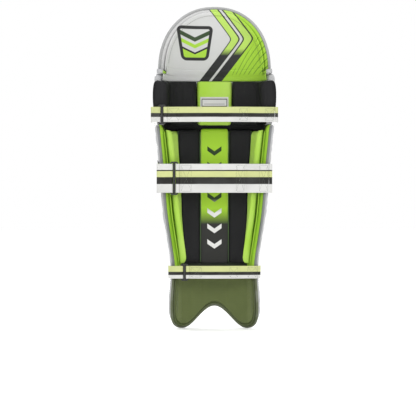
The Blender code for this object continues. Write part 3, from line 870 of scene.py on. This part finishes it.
def build_shin_face():
    def place(p, q, behind):
        s, z, edge = shin_layout(p, q)
        rounding = crease(edge, EDGE_ROUND)
        front = mix(shin_relief(s, z), EDGE_FRONT, rounding)
        rear = mix(0.0128, 0.0186, step_between(z, 0.1125, 0.1180))
        return by_arc(s, z, np.where(behind, mix(rear, EDGE_REAR, rounding), front))

    rows = stops((26, 60, 13))
    obj = grid("shin_face", SHIN_COLUMNS, rows, place, rear=True)
    on_line = np.isclose(np.tile(SHIN_COLUMNS, len(rows)) % 1, 0)
    at_end = np.repeat([row < 0.12 or row > 2.9 for row in rows], len(SHIN_COLUMNS))
    held = np.ones(len(obj.data.vertices), bool)
    held[:len(on_line)] = on_line | at_end
    swell(obj, held, cap=0.0012)
    hidden = ("shin_cover", "foam_centre", "foam_left", "foam_right", "foam_wing_left",
              "foam_wing_right", "instep_foam", *(f"cane_rod_{i}" for i in range(1, 5)))
    finished(soften(obj), "leather", "shin", hidden, "wing_cloth")


def hat_layout(p, q, inset, low_extra=0.0):
    """Arc distance, height and distance to the outline of a top hat grid point."""
    u = 2 * p - 1
    low = hat_bottom(u * hat_edge(SEAMS[3] + 0.004, inset)) + low_extra
    z = mix(low, HAT_TOP - inset, np.sin(q * radians(80)) / np.sin(radians(80)))
    z += 0.0020 * np.maximum(q - 0.8, 0) / 0.2 * (1 - u * u)
    s = u * hat_edge(z, inset)
    x = np.abs(surface(s, z)[..., 0])
    sideways = hat_edge_x(z, inset) - x
    share = np.clip(x / (HAT_HALF_WIDTH - inset), 0, 1)
    upward = HAT_BASE + (HAT_HEIGHT - inset) * (1 - share**HAT_POWER) ** (1 / HAT_POWER) - z
    sideways, upward = np.maximum(sideways, 1e-6), np.maximum(upward, 1e-6)
    edge = sideways * upward / np.hypot(sideways, upward)
    return s, z, np.minimum(edge, z - low)


def build_top_hat():
    def face(p, q, behind):
        s, z, edge = hat_layout(p, q, LEATHER_INSET)
        rounding = crease(edge, EDGE_ROUND)
        fade = 1 - step_between(z, 0.668, 0.692)
        sewn = max_of([crease(s - line, 0.013) for line in HAT_CHANNELS])
        uneven = ripple(s, z, 0.055, 6) * 0.0004 + ripple(s, z, 0.020, 7) * 0.00015
        front = mix(sewn * fade * 0.0026 - 0.0004 + uneven, EDGE_FRONT, rounding)
        rear = mix(0.0167, EDGE_REAR, rounding)
        return by_width(s, z, np.where(behind, rear, front))

    columns, rows = even(108), even(64)
    obj = grid("top_hat_face", columns, rows, face, rear=True)
    p, q = np.tile(columns, len(rows)), np.repeat(rows, len(columns))
    s, _, edge = hat_layout(p, q, LEATHER_INSET)
    sewn = max_of([crease(s - line, 0.0020) > 0 for line in HAT_CHANNELS])
    held = np.ones(len(obj.data.vertices), bool)
    held[:len(p)] = sewn | (edge < 0.004)
    swell(obj, held, cap=0.0012)
    hidden = ("top_hat_cover", "top_hat_foam")
    finished(soften(obj), "leather", "top_hat", hidden, "print")

    def lining(p, q, behind):
        s, z, edge = hat_layout(p, q, 0.0055, low_extra=0.001)
        crown = 0.0016 * (1 - crease(edge, 0.014)) + ripple(s, z, 0.05, 8) * 0.0002
        return by_width(s, z, np.where(behind, 0.0192 + crown, 0.0176))

    obj = grid("top_hat_lining_print", even(72), even(44), lining, rear=True)
    finished(soften(obj), "print", "top_hat", ("top_hat_lining",))


def max_of(arrays):
    return np.maximum.reduce(arrays)


def hat_outline(t, inset, depth):
    """A point round the top hat's outline, from its left foot over the top."""
    low = radians(2.5)
    angle = mix(low, pi - low, t)
    x = (HAT_HALF_WIDTH - inset) * power(np.cos(angle), HAT_POWER)
    z = HAT_BASE + (HAT_HEIGHT - inset) * power(np.sin(angle), HAT_POWER)
    return point(float(arc_at(x, z)), z, depth)


def shin_outline(inset, depth):
    """Points along the wing, round both lobes and up the other wing."""
    heights = np.linspace(SEAMS[0] - 0.012, CORNER_HEIGHT, 60, endpoint=False)
    left = [(1.0, z) for z in heights]
    for t in np.linspace(pi / 2, 0, 26):
        left.append((LOBE_AT + (1 - LOBE_AT) * np.sin(t), CORNER_HEIGHT * (1 - np.cos(t))))
    left += [(u, float(toe_edge(u))) for u in np.linspace(LOBE_AT, 0, 26)[1:]]
    both = left + [(-u, z) for u, z in reversed(left[:-1])]
    return [point(u * (float(half_arc(z)) - inset), z + inset, depth) for u, z in both]


def build_bindings():
    cord = tube("shin_binding_roll", shin_outline(BINDING_RADIUS, BINDING_DEPTH), BINDING_RADIUS)
    finished(cord, "piping", "shin", ("shin_binding",))
    outline = [hat_outline(t, BINDING_RADIUS, BINDING_DEPTH) for t in np.linspace(0, 1, 110)]
    cord = tube("top_hat_binding_roll", outline, BINDING_RADIUS)
    finished(cord, "pale_piping", "top_hat", ("top_hat_binding",))
    toe = [spot for spot in shin_outline(0.0065, 0.0128) if spot[2] < INSTEP_TOP]
    finished(tube("instep_piping", toe, 0.0024), "olive_piping", "shin")


# ---------------------------------------------------------------- knee rolls
def roll_front(index, s):
    share = np.minimum(np.abs(s) / float(half_arc(SEAMS[1])) / ROLL_FADE, 1)
    return ROLL_FRONTS[index] * (1 - share**2.2)


def roll_point(index, s, angle, inset):
    """A point inset from a roll's outer surface; angle 0 faces the front."""
    low, high = SEAMS[index], SEAMS[index + 1]
    middle = (low + high) / 2
    front = roll_front(index, s)
    rear_y = point(s, np.full_like(s, middle), ROLL_REAR)[..., 1] - SHIFT[1]
    half_height = (high - low) / 2 - half_gap(rear_y) - inset
    half_depth = (ROLL_REAR - front) / 2 - inset
    depth = (ROLL_REAR + front) / 2 - half_depth * power(np.cos(angle), ROLL_POWER)
    spots = point(s, np.full_like(s, middle), depth)
    spots[..., 2] += half_height * power(np.sin(angle), ROLL_POWER)
    return spots


def build_rolls():
    for index, body in enumerate(BODIES[1:4]):
        reach = ROLL_REACH * float(half_arc((SEAMS[index] + SEAMS[index + 1]) / 2))

        def sleeve(p, q, index=index, reach=reach):
            s, angle = mix(-reach, reach, p), 2 * pi * q
            end = crease(reach - np.abs(s), 0.013)
            seam = crease(np.abs(s) - (reach - 0.021), 0.005)
            along, round_it = s + 0.02 * np.cos(angle), 0.02 * np.sin(angle)
            uneven = ripple(along, round_it, 0.045, 11 + index) * 0.0004
            inset = 0.0075 * end + 0.0011 * seam + uneven + 0.0004
            return roll_point(index, s, angle, inset), uv(s, angle * 0.009)

        obj = grid(f"{body}_padding", even(168), even(66), sleeve, merge=True, caps=True)
        across = np.abs(coordinates(obj.data)[:, 0])
        swell(obj, across > across.max() - 0.004, cap=0.0009, spare=0.02)
        hidden = (f"{body}_cover", f"{body}_foam")
        finished(obj, "leather", body, hidden)

    def badge(p, q):
        s, angle = mix(0.036, 0.116, p), mix(-0.95, 0.95, q)
        return roll_point(1, s, angle, -0.0016), uv(s - 0.036, q * 0.034)

    obj = thicken(grid("roll_strip", even(40), even(14), badge), 0.0012, offset=-1)
    finished(soften(obj), "bars", "roll_middle", ("roll_badge",))


def build_gussets():
    """Soft folds that close the gap at each seam."""
    for index, seam in enumerate(SEAMS):
        reach = (0.925 if index in (1, 2) else 0.945) * float(half_arc(seam))
        rolls = index in (1, 2)

        def place(p, q, behind, seam=seam, reach=reach, rolls=rolls, index=index):
            s = mix(-reach, reach, p)
            edge = half_gap(seam_y(seam, s, ROLL_REAR))
            front, open_by = np.full_like(s, 0.0060), 0.0004
            if rolls:
                outer = roll_front(index, s)
                front = (ROLL_REAR + outer) / 2 - 0.55 * (ROLL_REAR - outer) / 2
                open_by = 0.0016
            half = np.where(behind, edge - 0.0003, edge + open_by)
            depth = np.where(behind, 0.0190, front + 0.0006 * (2 * q - 1) ** 2)
            return point(s, seam + half * (2 * q - 1), depth), uv(s, q * 0.008)

        obj = grid(f"seam_fold_{index + 1}", even(90), even(4), place, rear=True)
        finished(obj, "leather", stands_for=(f"seam_web_{index + 1}",),
                 rear_look="print" if index == 3 else "black")
        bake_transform(obj)

    def thin(name, rows, place, thickness, look, body=None):
        obj = thicken(grid(name, even(90), even(rows), place), thickness)
        finished(obj, look, body)
        stretched(obj)
        return obj

    def hinge(p, q):
        z = mix(0.5412, 0.5745, q)
        reach = np.minimum(half_arc(z) - 0.0055, hat_edge(z, 0.0068))
        reach = np.where(z < 0.5555, half_arc(z) - 0.0085, reach)
        depth = mix(0.0208, 0.0216, step_between(z, 0.553, 0.566))
        return by_width(mix(-1, 1, p) * reach, z, depth)

    obj = thin("top_hat_hinge", 14, hinge, 0.0008, "print")
    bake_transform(obj)

    def web(p, q):
        z = mix(0.4310, 0.4600, q)
        inset = mix(0.0025, 0.0085, step_between(z, 0.438, 0.450))
        return point(mix(-1, 1, p) * (half_arc(z) - inset), z, 0.02125), uv(p * 0.3, z)

    obj = thin("knee_web", 12, web, 0.0005, "black")
    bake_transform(obj)

    def backing(p, q):
        z = mix(0.4615, 0.4850, q)
        return point(mix(-1, 1, p) * 0.985 * half_arc(z), z, 0.0212), uv(p * 0.3, z)

    thin("roll_lower_lining", 8, backing, 0.0006, "black", "roll_lower")


# ---------------------------------------------------------------- back of the pad
def inner_edge(z):
    """Arc distance from the middle to the seam between an inner and a side cushion."""
    return np.minimum(0.100, half_arc(z) - 0.0245)


def bolster(name, side, inner, outer, flat_y=None, cap=0.0010):
    """A long cushion with round ends, between two lines on one side of the lining."""

    def place(p, q):
        angle = 2 * pi * p
        middle = mix(BOLSTER_LOW, float(bolster_top(0.0)), q)
        near, far = inner(middle), outer(middle)
        centre, half = side * (near + far) / 2, (far - near) / 2 - 0.0008
        top = bolster_top(centre * float(half_arc(SEAMS[0])) / half_arc(middle))
        z = mix(BOLSTER_LOW, top, q)
        end = crease(np.minimum(z - BOLSTER_LOW, top - z), 0.014)
        swing = 1 + ripple(0, z, 0.050, 21) * 0.02
        s = centre + half * (1 - 0.18 * end) * swing * power(np.sin(angle), 3.4)
        rear = (BOLSTER_THICK - 0.0006) * (1 - 0.72 * end)
        depth = BOLSTER_FRONT + 0.0003 + rear * (1 - power(np.cos(angle), 3.2)) / 2
        spots = point(s, z, depth)
        if flat_y is not None:
            spots[..., 1] = np.minimum(spots[..., 1], flat_y + SHIFT[1])
        return spots, uv(s if name != "centre_strip" else spots[..., 0], z)

    obj = grid(name, even(56), stops((130,), cluster=0.35), place, merge=True, caps=True)
    heights = coordinates(obj.data)[:, 2]
    held = (heights < BOLSTER_LOW + 0.002) | (heights > heights.max() - 0.002)
    swell(obj, held, cap=cap, spare=0.03)
    return obj


def build_shin_back():
    def lining(p, q, behind):
        s, z, _ = shin_layout(p, q)
        s = s * (half_arc(z) - 0.0078) / leather_reach(z)
        z = mix(0.1145, bolster_top(s), (q - 1) / 2)
        return by_arc(s, z, np.where(behind, 0.0208, 0.0195))

    obj = grid("shin_lining_cloth", SHIN_COLUMNS, mix(1, 3, even(60)), lining, rear=True)
    finished(obj, "lining", "shin", ("shin_lining",))
    stretched(obj)

    strip = bolster("centre_strip", 1, lambda z: -CENTRE_HALF, lambda z: CENTRE_HALF,
                    flat_y=REST_PLANE_Y, cap=0.0)
    finished(strip, "centre", "shin", ("centre_bolster",))
    cushions = (
        ("inner", "black", lambda z: CENTRE_HALF + 0.0006, inner_edge),
        ("side", "lime", lambda z: inner_edge(z) + 0.0006, lambda z: half_arc(z) - 0.0075),
    )
    pipings = (
        ("cushion", lambda z: float(inner_edge(z)) + 0.0003, 0.0105, 0.0013),
        ("strip", lambda z: CENTRE_HALF + 0.0004, 0.0118, 0.0011),
    )
    heights = np.linspace(BOLSTER_LOW + 0.004, float(bolster_top(0.083)) - 0.004, 90)
    for side, word in ((1, "left"), (-1, "right")):
        for kind, look, inner, outer in cushions:
            obj = bolster(f"{kind}_cushion_{word}", side, inner, outer)
            hidden = (f"{kind}_bolster_{word}",)
            finished(obj, look, "shin", hidden)
        for kind, line, behind, radius in pipings:
            cord = [point(side * line(z), z, BOLSTER_FRONT + behind) for z in heights]
            obj = tube(f"{kind}_piping_{word}", cord, radius)
            finished(obj, "green_piping", "shin")


def build_instep():
    def lining(p, q, behind):
        u = 2 * p - 1
        low = toe_edge(u) + 0.0100
        z = mix(low, INSTEP_TOP - 0.0004, q)
        s = u * (half_arc(z) - 0.0082)
        to_toe = (z - low) / np.sqrt(1 + toe_slope(u) ** 2)
        edge = np.minimum(half_arc(z) - 0.0082 - np.abs(s), to_toe)
        sewn = max_of([crease(np.abs(s) - line, 0.010) for line in (0.030, 0.082)])
        crown = 0.0026 * (1 - crease(edge, 0.014)) - 0.0014 * sewn
        crown = np.maximum(crown + ripple(s, z, 0.03, 31) * 0.0003, 0)
        return by_arc(s, z, np.where(behind, 0.0150 + crown, 0.0137))

    obj = grid("instep_padding", even(96), even(34), lining, rear=True)
    finished(soften(obj), "olive", "shin", ("instep_lining",))

    low, high = 0.0555, 0.0995

    def badge(p, q):
        z = mix(low, high, q)
        half = 0.027 - 0.2 * (high - z)
        corner = 0.006 * np.maximum(crease(z - low, 0.006), crease(high - z, 0.006))
        s = (2 * p - 1) * (half - corner)
        return by_arc(s, z, -0.0008 - 0.0012 * (1 - (2 * p - 1) ** 8))

    obj = thicken(grid("instep_shield", even(28), even(28), badge), 0.0014, offset=-1)
    finished(soften(obj), "shield", "shin", ("instep_badge",))

    def patch(p, q):
        s = mix(0.1150, float(half_arc(0.335)) - 0.0065, p)
        z = mix(0.3130, 0.3370, p) + 0.030 * q
        return point(s, z, -0.0009), uv(p * 0.048, q * 0.030)

    obj = thicken(grid("wing_patch", even(30), even(16), patch), 0.0010)
    finished(obj, "patch", "shin")


def cup_section(s, limit):
    """Front and rear depth of a side cup: behind the roll, then round the end of it."""
    turn = np.clip((s / limit - 0.945) / 0.035, 0, 1)
    front = mix(CUP_FRONT, 0.002, turn * turn * (3 - 2 * turn))
    return front, CUP_FRONT + CUP_THICK * mix(1, 0.6, np.maximum(s / limit - 0.5, 0) * 2)


def build_knee_cups():
    limit = float(half_arc((CUP_LOW + CUP_HIGH) / 2))

    def cup(name, start, end, look, nodes):
        def place(p, q):
            s, angle = mix(start, end, p), 2 * pi * q
            rounding = crease(np.minimum(np.abs(s - start), np.abs(s - end)), 0.010)
            front, rear = cup_section(np.abs(s), limit)
            rear = rear - 0.0004 - rounding * 0.55 * (rear - front)
            depth = (front + rear) / 2 - (rear - front) / 2 * power(np.cos(angle), 4.2)
            lift = np.clip((np.abs(s) / limit - 0.76) / 0.18, 0, 1)
            low = mix(CUP_LOW, CUP_END_LOW, lift) + 0.004 * rounding
            z = mix(low, CUP_HIGH - 0.003 * rounding, (1 + power(np.sin(angle), 4.2)) / 2)
            depth = depth + ripple(s, z, 0.035, 41) * 0.0004 * (depth > CUP_FRONT + 0.004)
            return point(s * half_arc(z) / limit, z, depth), uv(s, z)

        columns = max(40, round(abs(end - start) / 0.0018))
        obj = grid(name, even(columns), even(80), place, merge=True, caps=True)
        across = np.abs(coordinates(obj.data)[:, 0])
        held = (across < across.min() + 0.003) | (across > 0.125)
        swell(obj, held, cap=0.0 if name == "knee_cup_middle" else 0.0009, spare=0.03)
        finished(obj, look, "roll_middle", nodes)

    edge, far = CUP_CENTRE_HALF + 0.0016, limit + CUP_REACH - 0.0006
    cup("knee_cup_middle", -CUP_CENTRE_HALF, CUP_CENTRE_HALF, "lime",
        ("knee_cup_centre", "cup_backing"))
    cup("knee_cup_side_left", edge, far, "black", ("knee_cup_left",))
    cup("knee_cup_side_right", -far, -edge, "black", ("knee_cup_right",))

    def label(p, q):
        s, z = mix(-0.035, 0.035, p), mix(0.4815, 0.5050, q)
        return by_arc(s, z, CUP_FRONT + CUP_THICK + 0.0002)

    obj = thicken(grid("cup_label", even(30), even(12), label), 0.0008, offset=1)
    finished(obj, "label", "roll_middle")


# ---------------------------------------------------------------- straps
def strap_frame(name):
    """Half width and line of the webbing of one strap, in the CAD's own frame."""
    low, high, ring_x, clearance = STRAPS[name]
    half = float(max(surface(half_arc(z), z)[0] for z in (low, high)))
    edge = float(max(surface(half_arc(z), z)[1] for z in (low, high)))

    def line(x):
        return edge + clearance + STRAP_BOW * (1 - (x / half) ** 2)

    return low, high, ring_x, half, edge, line


def quarter(centre, radius, start, end, steps=9):
    """Plan points on an arc."""
    angles = np.linspace(radians(start), radians(end), steps)
    return [(centre[0] + radius * np.cos(a), centre[1] + radius * np.sin(a)) for a in angles]


def webbing(name, path, low, high):
    """Webbing on edge: a plan line carried from low to high."""
    path = np.array(path)
    arc = arc_lengths(path)
    count = max(8, round(arc[-1] / 0.0025))
    knots = np.union1d(np.linspace(0, arc[-1], count), arc if len(arc) < 60 else [])
    knots = knots[np.concatenate(([True], np.diff(knots) > 2e-4))]

    def place(p, q):
        at = p * arc[-1]
        x, y = np.interp(at, arc, path[:, 0]), np.interp(at, arc, path[:, 1])
        z = mix(low + 0.0003, high - 0.0003, q)
        return np.stack([x, y + SHIFT[1], z], axis=-1), uv(at, z)

    obj = thicken(grid(name, knots / arc[-1], even(10), place), WEBBING)
    bevel = obj.modifiers.new("worn edge", "BEVEL")
    bevel.width, bevel.segments, bevel.limit_method = 0.0004, 2, "ANGLE"
    return obj


def box_stitch(x0, x1, low, high, line, offset):
    """The lines of a sewn box with a cross in it, on the back of a strap."""
    corners = [(x0, low), (x1, low), (x1, high), (x0, high), (x0, low), (x1, high)]
    sides = [*zip(corners, corners[1:]), ((x0, high), (x1, low))]
    for (xa, za), (xb, zb) in sides:
        xs, zs = mix(xa, xb, even(12)), mix(za, zb, even(12))
        yield [(x, line(x) + offset + SHIFT[1], z) for x, z in zip(xs, zs)]


def build_strap(name):
    """One strap: sewn anchor, webbing, folded tail, ring, and the tab that holds it."""
    low, high, ring_x, half, edge, line = strap_frame(name)
    carrier, turn, outside = CARRIERS[name], 0.004, half + ANCHOR_OFFSET
    bar_x, sewn_x, tail_x = ring_x + RING_WIDTH, -(half - SEWN_END), -TAIL_REACH * half
    strap, tail = f"{name}_strap", f"{name}_tail"

    def piece(label, path, body, node):
        obj = webbing(f"{name}_{label}_webbing", path, low, high)
        finished(obj, name, body, (node,))

    def sewn(label, boxes, offset, body):
        rows = []
        for start, end in boxes:
            rows += box_stitch(start, end, low + 0.0035, high - 0.0035, line, offset)
        obj = stitches(f"{name}_{label}_stitches", rows, FINE)
        finished(obj, "dark_thread", body)

    corner = quarter((-(outside - turn), line(sewn_x) - turn), turn, 180, 90)
    anchor = [(-outside, edge - ANCHOR_LENGTH), *corner, (sewn_x, line(sewn_x))]
    piece("anchor", anchor, carrier, f"{name}_anchor")

    xs = np.linspace(sewn_x + 0.0006, ring_x - 0.0060, 90)
    piece("strap", [(x, line(x)) for x in xs], strap, strap)
    xs = np.linspace(ring_x - 0.0050, tail_x, 80)
    piece("tail", [(x, line(x) + LAYER) for x in xs], tail, tail)

    hub = (ring_x, line(ring_x) + LAYER / 2)
    fold = [(ring_x - 0.0054, line(ring_x - 0.0054)), *quarter(hub, WRAP, -90, 90, 17)]
    fold.append((ring_x - 0.0044, line(ring_x - 0.0044) + LAYER))
    piece("fold", fold, strap, f"{name}_fold")

    outer_hub = (bar_x, line(bar_x) + LAYER / 2)
    bend = quarter((outside - turn, outer_hub[1] + WRAP - turn), turn, 0, 90)
    loop = quarter(outer_hub, WRAP, 90, 270, 17)
    tab = [(outside, edge - ANCHOR_LENGTH), *bend, *loop, (bar_x + 0.005, outer_hub[1] - WRAP)]
    piece("tab", tab, carrier, f"{name}_tab")

    build_ring(name, hub, outer_hub, low - RING_MARGIN, high + RING_MARGIN)
    boxes = ((tail_x + 0.003, tail_x + 0.020), (ring_x - 0.030, ring_x - 0.008))
    sewn("tail", boxes, LAYER + WEBBING / 2, tail)
    start = sewn_x + 0.003
    sewn("strap", ((start, start + 0.018),), WEBBING / 2, strap)


def build_ring(name, hub, outer_hub, low, high):
    """A rectangular ring with round corners, standing in the plane through its bars."""
    along = np.array([outer_hub[0] - hub[0], outer_hub[1] - hub[1], 0])
    width, corner = np.linalg.norm(along), 0.003
    left, right, bottom, top = corner, width - corner, low + corner, high - corner
    centres = ((right, top, 0), (left, top, 90), (left, bottom, 180), (right, bottom, 270))
    points = []
    for across, level, start in centres:
        for a in np.linspace(radians(start), radians(start + 90), 10):
            offset = along / width * (across + corner * np.cos(a))
            points.append(offset + SHIFT + (hub[0], hub[1], level + corner * np.sin(a)))
    obj = tube(f"{name}_slider", points, RING_RADIUS, cyclic=True, resolution=4)
    finished(obj, "plastic", f"{name}_ring", (f"{name}_ring",))

    def plate(p, q):
        across = width / 2 + (p - 0.5) * 0.0062 * (1 - 0.25 * np.sin(pi * q))
        level = mix(low + RING_RADIUS / 2, high - RING_RADIUS / 2, q)
        spots = np.array([hub[0], hub[1], 0]) + SHIFT + across[:, None] * along / width
        spots[:, 2] = level
        return spots, uv(across, level)

    obj = soften(thicken(grid(f"{name}_slider_web", even(6), even(20), plate), 0.0020))
    finished(obj, "plastic", f"{name}_ring")


# ---------------------------------------------------------------- stitching
def build_stitching():
    heights = np.linspace(0.150, 0.432, 120)
    lines = [[point(s, z, 0.0016) for z in heights] for s in (-0.1195, 0.1195)]
    lines.append(shin_outline(STITCH_INSET, 0.0002))
    finished(stitches("shin_stitches", lines), "thread", "shin")
    outlines = (
        ("top_hat_stitches", 0.0001, 0.02, "thread", "white_leather"),
        ("lining_stitches", 0.0214, 0.04, "dark_thread", "printed_lining"),
    )
    for name, depth, start, look, slot in outlines:
        stops_round = np.linspace(start, 1 - start, 120)
        outline = [hat_outline(t, STITCH_INSET, depth) for t in stops_round]
        finished(stitches(name, [outline]), look, "top_hat")


# ---------------------------------------------------------------- stage
VIEW_X, VIEW_Z, VIEW_WIDTH, VIEW_DISTANCE, LENS = 0.014, 0.2785, 0.907, 4.0, 158.0


def build_stage():
    """A wide white floor under a white sky, soft lights, and the camera."""
    def disc(p, q):
        reach, turn = 14 * p**2, 2 * pi * q
        across, along = reach * np.cos(turn), reach * np.sin(turn)
        return np.stack([across, along, 0 * p - 0.0006], axis=-1), uv(p, q)

    floor = grid("studio_floor", even(24), even(48), disc, merge=True)
    look = Look("studio_white", 0.9)
    tone = look.paint((0.90, 0.90, 0.90), ((0.88, 0.88, 0.88), look.noise(2)))
    look.shader.inputs["Emission Color"].default_value = (1, 1, 1, 1)
    look.shader.inputs["Emission Strength"].default_value = 0.12
    floor.data.materials.append(look.finish(tone, look.noise(40), 0.0001))

    world = bpy.data.worlds.new("studio")
    world.use_nodes = True
    sky = world.node_tree.nodes["Background"].inputs
    sky["Color"].default_value, sky["Strength"].default_value = (1, 1, 1, 1), 1.0
    bpy.context.scene.world = world
    lights = (
        ("back_key", (-1.1, 2.6, 1.7), 25, 1.0),
        ("back_fill", (1.9, 2.0, 0.9), 7, 1.6),
        ("top", (0.2, 0.1, 2.6), 14, 1.2),
        ("front_key", (1.3, -2.4, 1.7), 34, 1.0),
        ("front_fill", (-1.9, -1.8, 0.9), 5, 1.6),
    )
    for name, place, watts, size in lights:
        lamp = bpy.data.lights.new(name, "AREA")
        lamp.energy, lamp.size = watts, size
        obj = add_object(name, lamp)
        obj.location = place
        aim = Vector((0, 0, 0.35)) - obj.location
        obj.rotation_euler = aim.to_track_quat("-Z", "Y").to_euler()

    bpy.context.scene.view_settings.view_transform = "Standard"
    camera = bpy.data.cameras.new("camera")
    camera.lens = LENS
    camera.sensor_width = VIEW_WIDTH * LENS / VIEW_DISTANCE
    camera.clip_end = 50
    obj = add_object("camera", camera)
    obj.location = (VIEW_X, VIEW_DISTANCE, VIEW_Z)
    obj.rotation_euler = (radians(90), 0, radians(180))
    bpy.context.scene.camera = obj


build_shin_face()
build_top_hat()
build_bindings()
build_rolls()
build_gussets()
build_shin_back()
build_instep()
build_knee_cups()
for strap_name in STRAPS:
    build_strap(strap_name)
build_stitching()
build_stage()
